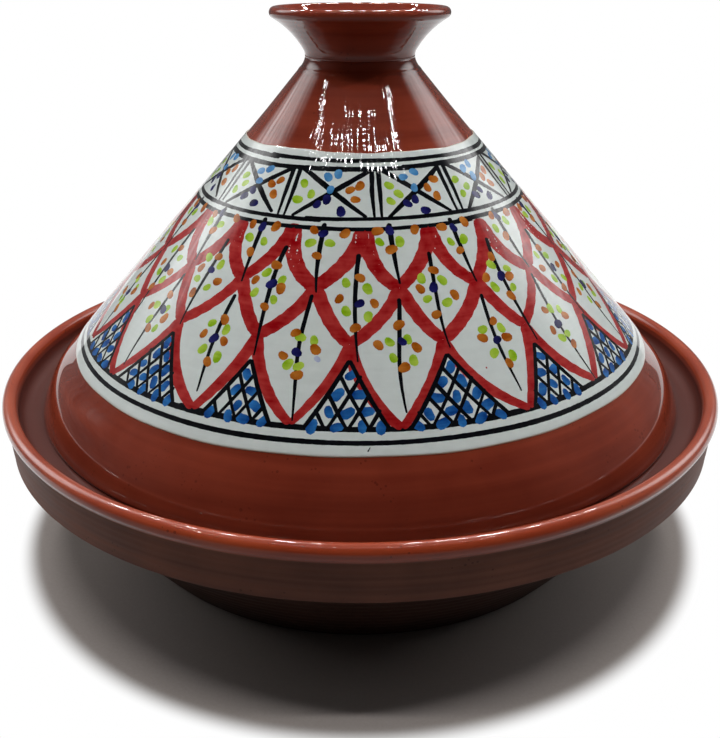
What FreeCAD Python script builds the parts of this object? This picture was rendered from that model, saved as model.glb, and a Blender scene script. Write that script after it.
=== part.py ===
import FreeCAD, Part
import math
import os

# Tagine pot: an open dish with a ledge inside its collar, and a conical lid that rests on the ledge.
# Millimetres and degrees. +Z is up, and the origin is at the centre of the foot, on the table.

# Dish
rim_diameter = 300.0        # across the lip, its widest line
lip_thickness = 6.0         # the lip is a round bead on top of the collar
lip_rise = 7.4              # from the ledge up to the centre of the bead
collar_setback = 1.1        # the collar's outer face stands this far inside the bead
collar_taper = 1.1          # the face leans in by this much at its lower edge
collar_depth = 18.4         # from the centre of the bead down to the collar's lower edge
collar_overhang = 8.8       # the collar's lower edge stands out this far from the bowl
collar_edge = 0.8           # rounding of that lower edge
moat_fillet = 5.0           # hollow corner between the collar and the ledge
ledge_height = 60.0         # seat of the lid, above the table
ledge_margin = 3.0          # the ledge reaches this far inside the lid's foot
ledge_edge = 2.0            # rounding of the ledge's inner edge
foot_diameter = 206.0       # the dish stands on the outer ring of its base
foot_width = 12.0
foot_recess = 3.0           # turned hollow under the base
foot_edge = 1.0             # rounding of the foot's outer edge
bowl_belly = 0.4            # how far the bowl's side swells past a straight line
floor_thickness = 9.0
floor_inset = 26.0          # the flat floor ends this far inside the foot's outer edge

# Lid
seat_clearance = 3.3        # free play of the lid's foot on the ledge, all round
cone_half_angle = 41.9      # of the straight flank, from the axis
skirt_lean = 15.0           # of the flank at the lid's foot, from the axis
shoulder_radius = 44.0      # of the curve from the foot to the straight flank
lid_wall = 7.5
lid_edge = 1.6              # rounding of the lid's foot, outside
neck_diameter = 41.0        # where the knob is joined on
crown_thickness = 9.0       # clay between the lid's hollow and the neck

# Knob
knob_diameter = 69.4
knob_height = 18.3          # from the neck to the top of the knob's lip
knob_lip_thickness = 4.2    # the knob's lip is a round bead
knob_flare_angle = 60.0     # of the knob's side where it meets the bead, from the axis
cup_depth = 12.7            # hollow in the top of the knob

# Coat of white slip on the flank of the lid
slip_start = 9.2            # up the straight flank, from where the shoulder ends
slip_width = 111.4          # along the flank
slip_thickness = 0.4
slip_feather = 1.0          # the coat thins out over this much at each edge


def at(r, z):
    # A point of a profile: r from the axis, z above the table.
    return FreeCAD.Vector(r, 0.0, z)


def polar(centre, radius, degrees):
    # A point of the circle round centre, with the angle counted up from straight outwards.
    angle = math.radians(degrees)
    return centre + at(radius * math.cos(angle), radius * math.sin(angle))


def line(a, b):
    return Part.LineSegment(a, b).toShape()


def arc(a, b, c):
    return Part.Arc(a, b, c).toShape()


def turned(edges):
    # The solid that a closed profile sweeps in one turn about the axis.
    face = Part.Face(Part.Wire(edges))
    return face.revolve(FreeCAD.Vector(0, 0, 0), FreeCAD.Vector(0, 0, 1), 360)


def rounded(solid, corner, radius):
    # The solid with its circular edge through a profile corner rounded off.
    near = 1e-4
    real = [edge for edge in solid.Edges if not edge.Degenerated]
    circles = [edge for edge in real if isinstance(edge.Curve, Part.Circle)]
    level = [edge for edge in circles if abs(edge.Curve.Center.z - corner.z) < near]
    return solid.makeFillet(radius, [edge for edge in level if abs(edge.Curve.Radius - corner.x) < near])


# Places that the dish and the lid share.
lip_radius = lip_thickness / 2
lip_centre = at(rim_diameter / 2 - lip_radius, ledge_height + lip_rise)
collar_inside = lip_centre.x - lip_radius
lid_foot_radius = collar_inside - moat_fillet - seat_clearance

# The shoulder's arc, about a centre inside the lid, runs from the foot's lean to the flank's slope.
flank_normal = at(math.cos(math.radians(cone_half_angle)), math.sin(math.radians(cone_half_angle)))
flank_up = at(-flank_normal.z, flank_normal.x)
lid_foot = at(lid_foot_radius, ledge_height)
shoulder_centre = polar(lid_foot, -shoulder_radius, skirt_lean)
shoulder_end = polar(shoulder_centre, shoulder_radius, cone_half_angle)
inner_radius = shoulder_radius - lid_wall
inner_lean = math.degrees(math.asin((ledge_height - shoulder_centre.z) / inner_radius))
inner_foot = polar(shoulder_centre, inner_radius, inner_lean)
inner_shoulder_end = polar(shoulder_centre, inner_radius, cone_half_angle)

# The neck is where the straight flank has come in to the knob's base.
neck_radius = neck_diameter / 2
neck_height = shoulder_end.z + (shoulder_end.x - neck_radius) / math.tan(math.radians(cone_half_angle))
top_height = neck_height + knob_height


def make_dish():
    foot_radius = foot_diameter / 2
    collar_low = lip_centre.z - collar_depth
    collar_top_radius = rim_diameter / 2 - collar_setback
    collar_low_radius = collar_top_radius - collar_taper
    floor_height = foot_recess + floor_thickness

    foot_outer = at(foot_radius, 0)
    foot_inner = at(foot_radius - foot_width, 0)
    recess_corner = at(foot_radius - foot_width - foot_recess, foot_recess)
    bowl_top = at(collar_low_radius - collar_overhang, collar_low)
    collar_corner = at(collar_low_radius, collar_low)

    # Under the bead the collar's face starts where the bead has come back in to it.
    face_angle = -math.degrees(math.acos((lip_radius - collar_setback) / lip_radius))
    face_top = polar(lip_centre, lip_radius, face_angle)
    lip_inside = polar(lip_centre, lip_radius, 180)

    moat_centre = at(collar_inside - moat_fillet, ledge_height + moat_fillet)
    ledge_corner = at(inner_foot.x - ledge_margin, ledge_height)
    floor_corner = at(foot_radius - floor_inset, floor_height)

    # Outside, the side swells from its chord. Inside, one arc leaves the floor along it and ends on the ledge.
    chord = bowl_top - foot_outer
    belly = foot_outer + chord * 0.5 + at(chord.z, -chord.x).normalize() * bowl_belly
    across = ledge_corner - floor_corner
    bowl_radius = across.Length ** 2 / (2 * across.z)
    bowl_centre = floor_corner + at(0, bowl_radius)
    ledge_angle = math.degrees(math.atan2(ledge_corner.z - bowl_centre.z, across.x))
    bowl_middle = polar(bowl_centre, bowl_radius, (ledge_angle - 90) / 2)

    profile = [
        line(at(0, foot_recess), recess_corner),
        line(recess_corner, foot_inner),
        line(foot_inner, foot_outer),
        arc(foot_outer, belly, bowl_top),
        line(bowl_top, collar_corner),
        line(collar_corner, face_top),
        arc(face_top, polar(lip_centre, lip_radius, 45), lip_inside),
        line(lip_inside, polar(moat_centre, moat_fillet, 0)),
        arc(polar(moat_centre, moat_fillet, 0), polar(moat_centre, moat_fillet, -45),
            polar(moat_centre, moat_fillet, -90)),
        line(polar(moat_centre, moat_fillet, -90), ledge_corner),
        arc(ledge_corner, bowl_middle, floor_corner),
        line(floor_corner, at(0, floor_height)),
        line(at(0, floor_height), at(0, foot_recess)),
    ]
    dish = turned(profile)
    dish = rounded(dish, foot_outer, foot_edge)
    dish = rounded(dish, collar_corner, collar_edge)
    return rounded(dish, ledge_corner, ledge_edge)


def make_lid_cone():
    # Inside, a dome touches the inner flank all round and closes the hollow under the neck.
    flank_sine = math.sin(math.radians(cone_half_angle))
    inner_apex = inner_shoulder_end.z + inner_shoulder_end.x / math.tan(math.radians(cone_half_angle))
    dome_top = neck_height - crown_thickness
    dome_radius = (inner_apex - dome_top) / (1 / flank_sine - 1)
    dome_centre = at(0, dome_top - dome_radius)
    dome_end = polar(dome_centre, dome_radius, cone_half_angle)

    profile = [
        arc(lid_foot, polar(shoulder_centre, shoulder_radius, (skirt_lean + cone_half_angle) / 2), shoulder_end),
        line(shoulder_end, at(neck_radius, neck_height)),
        line(at(neck_radius, neck_height), at(0, neck_height)),
        line(at(0, neck_height), at(0, dome_top)),
        arc(at(0, dome_top), polar(dome_centre, dome_radius, (90 + cone_half_angle) / 2), dome_end),
        line(dome_end, inner_shoulder_end),
        arc(inner_shoulder_end, polar(shoulder_centre, inner_radius, (inner_lean + cone_half_angle) / 2),
            inner_foot),
        line(inner_foot, lid_foot),
    ]
    return rounded(turned(profile), lid_foot, lid_edge)


def make_lid_knob():
    # A cup on a waist: the side flares from the neck to a bead, and a hollow sinks from the bead.
    bead_radius = knob_lip_thickness / 2
    bead_centre = at(knob_diameter / 2 - bead_radius, top_height - bead_radius)
    base = at(neck_radius, neck_height)
    flare_end = polar(bead_centre, bead_radius, -knob_flare_angle)

    # The flare leaves the bead along its tangent: the angle between chord and tangent sets the sagitta.
    chord = flare_end - base
    chord_angle = math.atan2(chord.x, chord.z)
    sagitta = chord.Length / 2 * math.tan((math.radians(knob_flare_angle) - chord_angle) / 2)
    flare_middle = base + chord * 0.5 + at(-chord.z, chord.x).normalize() * sagitta

    # The hollow is a ball's cap that touches the bead.
    cup_bottom = top_height - cup_depth
    rise = bead_centre.z - cup_bottom
    cup_radius = (bead_centre.x ** 2 + rise ** 2 - bead_radius ** 2) / (2 * (rise + bead_radius))
    cup_centre = at(0, cup_bottom + cup_radius)
    cup_angle = math.degrees(math.atan2(bead_centre.z - cup_centre.z, bead_centre.x))
    cup_edge = polar(cup_centre, cup_radius, cup_angle)

    profile = [
        line(at(0, neck_height), base),
        arc(base, flare_middle, flare_end),
        arc(flare_end, polar(bead_centre, bead_radius, 30), cup_edge),
        arc(cup_edge, polar(cup_centre, cup_radius, (cup_angle - 90) / 2), at(0, cup_bottom)),
        line(at(0, cup_bottom), at(0, neck_height)),
    ]
    return turned(profile)


def make_white_slip_band():
    low = shoulder_end + flank_up * slip_start
    high = low + flank_up * slip_width
    low_face = low + flank_up * slip_feather + flank_normal * slip_thickness
    high_face = high - flank_up * slip_feather + flank_normal * slip_thickness
    return turned([line(low, high), line(high, high_face), line(high_face, low_face), line(low_face, low)])


nodes = {
    "dish": make_dish(),
    "lid_cone": make_lid_cone(),
    "lid_knob": make_lid_knob(),
    "white_slip_band": make_white_slip_band(),
}

os.makedirs("parts", exist_ok=True)
for name, shape in nodes.items():
    shape.exportStep("parts/" + name + ".step")
    print(name, "valid", shape.isValid(), "solids", len(shape.Solids), "volume", round(shape.Volume))
print("neck height", round(neck_height, 1), "total height", round(top_height, 1))
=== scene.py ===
# Tagine pot: a terracotta dish and its painted conical lid, on a pale studio floor.
import bpy
import math
import numpy as np
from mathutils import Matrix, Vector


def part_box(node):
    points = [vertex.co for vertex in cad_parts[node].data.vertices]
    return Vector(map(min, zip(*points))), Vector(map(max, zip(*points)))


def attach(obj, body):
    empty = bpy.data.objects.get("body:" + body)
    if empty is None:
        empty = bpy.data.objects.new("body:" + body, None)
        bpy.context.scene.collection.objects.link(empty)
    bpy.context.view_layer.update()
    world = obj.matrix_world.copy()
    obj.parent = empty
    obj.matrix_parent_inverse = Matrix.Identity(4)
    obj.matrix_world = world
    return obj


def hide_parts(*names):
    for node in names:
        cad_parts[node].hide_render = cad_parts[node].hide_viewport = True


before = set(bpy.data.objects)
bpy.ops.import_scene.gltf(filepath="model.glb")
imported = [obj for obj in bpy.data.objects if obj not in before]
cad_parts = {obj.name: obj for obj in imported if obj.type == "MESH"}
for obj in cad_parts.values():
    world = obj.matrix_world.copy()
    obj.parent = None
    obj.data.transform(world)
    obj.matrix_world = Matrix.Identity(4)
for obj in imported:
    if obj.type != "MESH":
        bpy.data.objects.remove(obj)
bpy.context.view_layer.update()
print("frame loaded:", len(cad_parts), "nodes")

mm = 0.001  # shapes are worked out in millimetres, meshes are in metres
turn = 2 * math.pi
rng = np.random.default_rng(41)


# sRGB 0-255 to the linear colour that shader sockets take
def colour(red, green, blue):
    value = np.array([red, green, blue]) / 255
    linear = np.where(value <= 0.04045, value / 12.92, ((value + 0.055) / 1.055) ** 2.4)
    return (*[float(part) for part in linear], 1.0)


# 0 below low, 1 above high, and a smooth S between
def smoothStep(low, high, value):
    t = np.clip((value - low) / (high - low), 0, 1)
    return t * t * (3 - 2 * t)


# 1 within the span (a, b, c, d), with a smooth rise from a to b and a smooth fall from c to d
def smoothBand(span, value):
    a, b, c, d = span
    return smoothStep(a, b, value) * (1 - smoothStep(c, d, value))


# length along a row of points up to each of them
def runLength(points):
    return np.concatenate([[0], np.cumsum(np.hypot(*np.diff(points, axis=0).T))])


# a CAD node's largest radius, lowest and highest level, in millimetres
def nodeReach(node):
    low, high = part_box(node)
    return high[0] / mm, low[2] / mm, high[2] / mm


# point on the circle round centre, angle in degrees counted up from straight outwards
def polar(centre, radius, degrees):
    angle = np.radians(degrees)
    return np.stack([centre[0] + radius * np.cos(angle), centre[1] + radius * np.sin(angle)], axis=-1)


# points from a towards b, about step apart, without b itself
def straightRun(a, b, step):
    a, b = np.array(a, float), np.array(b, float)
    count = max(1, int(round(np.hypot(*(b - a)) / step)))
    return a + (b - a) * np.arange(count)[:, None] / count


# points along an arc round centre, about step apart, without its last point
def roundRun(centre, radius, first, last, step):
    count = max(2, int(round(radius * math.radians(abs(last - first)) / step)))
    return polar(centre, radius, first + (last - first) * np.arange(count) / count)


# points along the arc from a to b that swells by sagitta to the right of the chord, without b
def bowRun(a, b, sagitta, step):
    a, b = np.array(a, float), np.array(b, float)
    chord = b - a
    length = np.hypot(*chord)
    radius = (length ** 2 / 4 + sagitta ** 2) / (2 * abs(sagitta))
    half = math.asin(min(1.0, length / 2 / radius))
    count = max(2, int(round(2 * half * radius / step)))
    angle = half * (2 * np.arange(count) / count - 1)
    along, side = chord / length, np.array([chord[1], -chord[0]]) / length
    rise = (np.cos(angle) - math.cos(half)) * radius * math.copysign(1, sagitta)
    return (a + b) / 2 + along * (radius * np.sin(angle))[:, None] + side * rise[:, None]


# a rounded corner: the quadratic curve from a to b that the corner pulls on, without b
def cornerRun(a, corner, b, count=4):
    a, corner, b = np.array(a, float), np.array(corner, float), np.array(b, float)
    t = (np.arange(count) / count)[:, None]
    return a * (1 - t) ** 2 + corner * 2 * t * (1 - t) + b * t ** 2


# unit normals of a profile, to the right of its direction, which is out of the clay
def profileNormals(profile):
    along = np.gradient(profile, axis=0)
    along /= np.maximum(np.hypot(along[:, 0], along[:, 1]), 1e-9)[:, None]
    return np.stack([along[:, 1], -along[:, 0]], axis=1)


# an object of points and faces, in one material
def makeObject(name, points, faces, material):
    mesh = bpy.data.meshes.new(name)
    mesh.from_pydata(points.tolist(), [], faces)
    mesh.materials.append(material)
    made = bpy.data.objects.new(name, mesh)
    bpy.context.collection.objects.link(made)
    return made


# a value per point, kept on the mesh for its material
def setLoad(mesh, name, values):
    mesh.attributes.new(name, "FLOAT", "POINT").data.foreach_set("value", values.astype(np.float32))


# a smooth piece that rides on a body; load and normals are given per point
def makePiece(name, points, faces, material, body, load=None, normals=None):
    piece = makeObject(name, points, faces, material)
    mesh = piece.data
    if load is not None:
        setLoad(mesh, "load", load)
    mesh.polygons.foreach_set("use_smooth", np.ones(len(mesh.polygons), dtype=bool))
    if normals is not None:
        mesh.normals_split_custom_set_from_vertices(normals.tolist())
    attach(piece, body)
    return piece


# turning angles of the columns of a grid, as one row
def columnAngles(count):
    return (np.arange(count) * turn / count)[None, :]


# a profile (r, z) turned once round: x = r sin, y = -r cos, with angle 0 at the front,
# and amount gives millimetres along the profile's normal at each grid point
def turnedGrid(profile, count, amount):
    angle = columnAngles(count)
    normal = profileNormals(profile)
    r = profile[:, :1] + normal[:, :1] * amount
    z = profile[:, 1:] + normal[:, 1:] * amount
    return np.stack([r * np.sin(angle), -r * np.cos(angle), z + 0 * angle], axis=-1) * mm


# faces between neighbouring rows of a grid whose columns close into a ring; back turns them the other way
def gridFaces(rows, count, offset=0, closedRows=False, back=False):
    row = np.arange(rows if closedRows else rows - 1)[:, None]
    column = np.arange(count)[None, :]
    after, beside = (row + 1) % rows, (column + 1) % count
    corners = [row * count + column, row * count + beside, after * count + beside, after * count + column]
    if back:
        corners = [corners[k] for k in (0, 3, 2, 1)]
    return np.stack(corners, axis=-1).reshape(-1, 4) + offset


# triangles between one point and a ring of count points; back turns them the other way
def fanFaces(point, start, count, back=False):
    here = start + np.arange(count)
    beside = start + (np.arange(count) + 1) % count
    ring = (beside, here) if back else (here, beside)
    return np.stack([0 * here + point, *ring], axis=1)


# quads and triangles of a closed form: points 0 and 1 are its ends, and rows of count points lie between
def closedFaces(rows, count, back=False):
    last = 2 + (rows - 1) * count
    fans = np.vstack([fanFaces(0, 2, count, not back), fanFaces(1, last, count, back)])
    return gridFaces(rows, count, 2, back=back), fans


# a turned solid: the grid's first and last row are one point each, on the axis
def turnedSolid(name, profile, count, amount, material, body, load=None):
    grid = turnedGrid(profile, count, amount)
    points = np.vstack([grid[0].mean(axis=0), grid[-1].mean(axis=0), grid[1:-1].reshape(-1, 3)])
    quads, fans = closedFaces(len(profile) - 2, count)
    if load is not None:
        load = np.concatenate([load[[0, -1]], np.repeat(load[1:-1], count)])
    return makePiece(name, points, quads.tolist() + fans.tolist(), material, body, load)


# sets a node's inputs, and links those whose value is another node's output
def setInputs(tree, node, values):
    for key, value in values.items():
        if isinstance(value, bpy.types.NodeSocket):
            tree.links.new(value, node.inputs[key])
        else:
            node.inputs[key].default_value = value


# adds a shader node with its properties and inputs
def addNode(tree, kind, inputs=None, **properties):
    node = tree.nodes.new("ShaderNode" + kind)
    for key, value in properties.items():
        setattr(node, key, value)
    setInputs(tree, node, inputs or {})
    return node


# value = a (operation) b, or a x b + c for MULTIPLY_ADD, as a shader node
def mathNode(tree, operation, a, b=0.0, c=0.0, clamp=False):
    given = {0: a, 1: b, 2: c}
    return addNode(tree, "Math", given, operation=operation, use_clamp=clamp).outputs[0]


# low to high becomes 0 to 1, as a shader node
def rangeNode(tree, value, low, high):
    given = {"Value": value, "From Min": low, "From Max": high}
    return addNode(tree, "MapRange", given).outputs["Result"]


# colour between a and b, as a shader node
def mixNode(tree, share, a, b):
    return addNode(tree, "Mix", {0: share, 6: a, 7: b}, data_type="RGBA").outputs[2]


# noise on scaled coordinates, as a shader node
def noiseNode(tree, vector, scale, detail=3.0):
    placed = addNode(tree, "Mapping", {"Vector": vector, "Scale": scale}).outputs[0]
    given = {"Vector": placed, "Scale": 1.0, "Detail": detail}
    return addNode(tree, "TexNoise", given).outputs["Fac"]


# the mesh's own value of that name, as a shader node
def loadNode(tree, name):
    return addNode(tree, "Attribute", attribute_name=name).outputs["Fac"]


# an empty node group with the named inputs and outputs
def startGroup(name, inputs, outputs):
    group = bpy.data.node_groups.new(name, "ShaderNodeTree")
    for side, sockets in (("INPUT", inputs), ("OUTPUT", outputs)):
        for label, kind in sockets.items():
            group.interface.new_socket(label, in_out=side, socket_type="NodeSocket" + kind)
    return group, group.nodes.new("NodeGroupInput").outputs, group.nodes.new("NodeGroupOutput")


# glaze surface: fine rings left by throwing, which are noise squeezed along z, plus orange peel
def makeGlazeGroup():
    inputs = {"Vector": "Vector", "Rings": "Float", "Peel": "Float"}
    group, given, result = startGroup("glazeSurface", inputs, {"Height": "Float"})
    rings = noiseNode(group, given["Vector"], (14.0, 14.0, 520.0), 2.0)
    peel = noiseNode(group, given["Vector"], (800.0, 800.0, 800.0), 2.0)
    height = mathNode(group, "MULTIPLY", rings, given["Rings"])
    setInputs(group, result, {"Height": mathNode(group, "MULTIPLY_ADD", peel, given["Peel"], height)})
    return group


# clay tone: two colours mixed by broad noise and by bands round the axis, with small dark iron specks
def makeClayGroup():
    inputs = {"Vector": "Vector", "Share": "Float", "Light": "Color", "Dark": "Color", "Speck": "Color"}
    group, given, result = startGroup("clayTone", inputs, {"Color": "Color", "Mottle": "Float"})
    broad = noiseNode(group, given["Vector"], (34.0, 34.0, 34.0), 5.0)
    bands = noiseNode(group, given["Vector"], (7.0, 7.0, 300.0), 4.0)
    mottle = rangeNode(group, mathNode(group, "ADD", broad, bands), 0.76, 1.24)
    base = mixNode(group, mottle, given["Dark"], given["Light"])
    grains = addNode(group, "TexVoronoi", {"Vector": given["Vector"], "Scale": 480.0})
    size = rangeNode(group, noiseNode(group, given["Vector"], (90.0, 90.0, 90.0), 1.0), 0.5, 0.8)
    near = mathNode(group, "LESS_THAN", grains.outputs["Distance"], mathNode(group, "MULTIPLY", size, 0.32))
    speck = mathNode(group, "MULTIPLY", near, given["Share"])
    setInputs(group, result, {"Color": mixNode(group, speck, base, given["Speck"]), "Mottle": mottle})
    return group


# brush film: thin and thick paint mixed by the stroke's load, by streaks round the cone and by a soft wash
def makeBrushGroup():
    inputs = {"Vector": "Vector", "Thin": "Color", "Thick": "Color", "Load": "Float", "Streak": "Float"}
    group, given, result = startGroup("brushFilm", inputs, {"Color": "Color"})
    streaks = noiseNode(group, given["Vector"], (40.0, 40.0, 780.0), 3.0)
    wash = noiseNode(group, given["Vector"], (260.0, 260.0, 260.0), 2.0)
    uneven = mathNode(group, "SUBTRACT", mathNode(group, "ADD", streaks, wash), 1.0)
    film = mathNode(group, "MULTIPLY_ADD", uneven, given["Streak"], given["Load"], True)
    setInputs(group, result, {"Color": mixNode(group, film, given["Thin"], given["Thick"])})
    return group


glazeSurface = makeGlazeGroup()
clayTone = makeClayGroup()
brushFilm = makeBrushGroup()


# a new material: its tree, its shader and its object coordinates
def startMaterial(name):
    material = bpy.data.materials.new(name)
    material.use_nodes = True
    tree = material.node_tree
    place = addNode(tree, "TexCoord").outputs["Object"]
    return material, tree, tree.nodes["Principled BSDF"], place


# a group placed in a material with its own values
def placeGroup(tree, group, inputs):
    return addNode(tree, "Group", inputs, node_tree=group).outputs


# clay tone placed in a material with the colours of a look, whose names begin with kind
def placeClay(tree, place, look, kind):
    tones = {key: look[kind + key] for key in ("Light", "Dark", "Speck")}
    return placeGroup(tree, clayTone, {"Vector": place, "Share": look["share"], **tones})


# normal bumped by the glaze surface, worth depth millimetres
def bumpNode(tree, place, look):
    surface = placeGroup(tree, glazeSurface, {"Vector": place, "Rings": look["rings"], "Peel": look["peel"]})
    given = {"Height": surface["Height"], "Distance": look["depth"] * mm, "Strength": 1.0}
    return addNode(tree, "Bump", given).outputs[0]


glossSockets = {"Roughness": 0.35, "Specular IOR Level": 0.0, "Coat Weight": 1.0, "Coat Roughness": 0.03}


# a fired glaze over a colour: the colour, its bumped normal and its gloss
def setGlaze(tree, shader, place, look, shown):
    setInputs(tree, shader, {"Base Color": shown, "Normal": bumpNode(tree, place, look), **glossSockets})


lidLook = {
    "clayLight": colour(136, 57, 38), "clayDark": colour(112, 42, 27), "claySpeck": colour(52, 18, 12),
    "share": 0.35, "rings": 0.03, "peel": 0.015, "depth": 0.09,
}


# clear gloss glaze over red clay
def makeGlazedClay():
    material, tree, shader, place = startMaterial("glazedClay")
    setGlaze(tree, shader, place, lidLook, placeClay(tree, place, lidLook, "clay")["Color"])
    return material


dishLook = {
    "bareLight": colour(128, 82, 66), "bareDark": colour(100, 60, 47), "bareSpeck": colour(52, 30, 22),
    "glazeLight": colour(170, 73, 41), "glazeDark": colour(146, 53, 29), "glazeSpeck": colour(72, 28, 18),
    # the pooled colour is pooled glaze in the moat, darkened further as painted shade of that hollow; 'under'
    # and the keys after it are painted shade on the bare clay below the collar
    "poolAndShade": colour(82, 29, 16), "under": colour(40, 23, 17), "underShadeEdge": 48.0, "underShadeBlur": 1.5,
    "underShadeShare": 0.85, "glazeLine": 65.2, "lineSway": 1.4, "lineBlur": (0.4, 0.8), "share": 0.5,
    "rings": 0.4, "peel": 0.2, "depth": 0.10, "matt": 0.5, "mattMottle": 0.12, "mattGlazed": -0.22,
    "mattPooled": 0.3, "coatPooled": -0.75, "sockets": {"Coat Roughness": 0.04, "Specular IOR Level": 0.26},
}


# dish: glaze on the lip and inside, bare clay outside. The load on the mesh is 1 where glaze was poured and 2
# where it pooled dark and dull in the moat, a darkening that is also painted shade of that hollow; on the
# collar the glaze stops at an uneven height. Below the collar the bare clay turns dark: painted shade under
# the overhang
def makeDishClay():
    look = dishLook
    material, tree, shader, place = startMaterial("dishClay")
    poured = loadNode(tree, "load")
    height = addNode(tree, "SeparateXYZ", {0: place}).outputs["Z"]
    sway = noiseNode(tree, place, (70.0, 70.0, 70.0), 2.0)
    uneven = mathNode(tree, "MULTIPLY_ADD", sway, look["lineSway"] * mm, height)
    above = rangeNode(tree, uneven, *[(look["glazeLine"] + blur) * mm for blur in look["lineBlur"]])
    glazed = mathNode(tree, "MAXIMUM", poured, above, clamp=True)
    bare = placeClay(tree, place, look, "bare")
    shiny = placeClay(tree, place, look, "glaze")
    # painted shade of the moat, carried with the pooled glaze: where the load is 2 the colour turns darker
    poolAndShadeShare = mathNode(tree, "SUBTRACT", poured, 1.0, clamp=True)
    poolAndShade = mixNode(tree, poolAndShadeShare, shiny["Color"], look["poolAndShade"])
    # painted shade: below the collar's lower edge the bare clay turns towards the dark 'under' colour, where
    # the overhang shades the bowl
    below = rangeNode(tree, height, *[(look["underShadeEdge"] + k * look["underShadeBlur"]) * mm for k in (1, -1)])
    bareShaded = mixNode(tree, mathNode(tree, "MULTIPLY", below, look["underShadeShare"]), bare["Color"], look["under"])
    rough = mathNode(tree, "MULTIPLY_ADD", bare["Mottle"], look["mattMottle"], look["matt"])
    rough = mathNode(tree, "MULTIPLY_ADD", glazed, look["mattGlazed"], rough)
    rough = mathNode(tree, "MULTIPLY_ADD", poolAndShadeShare, look["mattPooled"], rough)
    coat = mathNode(tree, "MULTIPLY_ADD", poolAndShadeShare, look["coatPooled"], glazed)
    shown, normal = mixNode(tree, glazed, bareShaded, poolAndShade), bumpNode(tree, place, look)
    linked = {"Base Color": shown, "Roughness": rough, "Coat Weight": coat, "Normal": normal}
    setInputs(tree, shader, {**linked, **look["sockets"]})
    return material


glazedClay = makeGlazedClay()
dishClay = makeDishClay()
print("clay materials built")


# the profile of a list of runs, and the columns of shares that each run has for all its points
def joinRuns(runs):
    profile = np.vstack([run[0] for run in runs])
    columns = [np.concatenate([np.full(len(run[0]), float(run[k])) for run in runs])[:, None]
               for k in range(1, len(runs[0]))]
    return profile, columns


dishShape = {
    "lipRadius": 3.0, "lipRise": 7.4, "collarSetback": 1.1, "collarTaper": 1.1, "collarDepth": 18.4,
    "collarOverhang": 8.8, "moatFillet": 5.0, "ledgeHeight": 60.0, "ledgeInner": 124.88, "ledgeEdge": 2.0,
    "footRadius": 103.0, "footWidth": 12.0, "footRecess": 3.0, "bowlBelly": 0.4, "floorHeight": 12.0,
    "floorRadius": 77.0, "footEdge": (0.55, 0.9), "faceEdge": (0.06, 0.8), "ledgeTrim": 3.0, "count": 256,
    "sideRipple": 0.09, "sidePitch": 3.4, "sideSpan": (0.5, 6, 44, 48.5), "faceRipple": 0.05,
    "facePitch": 2.6, "floorRipple": 0.16, "floorPitch": 8.0, "outOfRound": 0.25,
}


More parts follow.
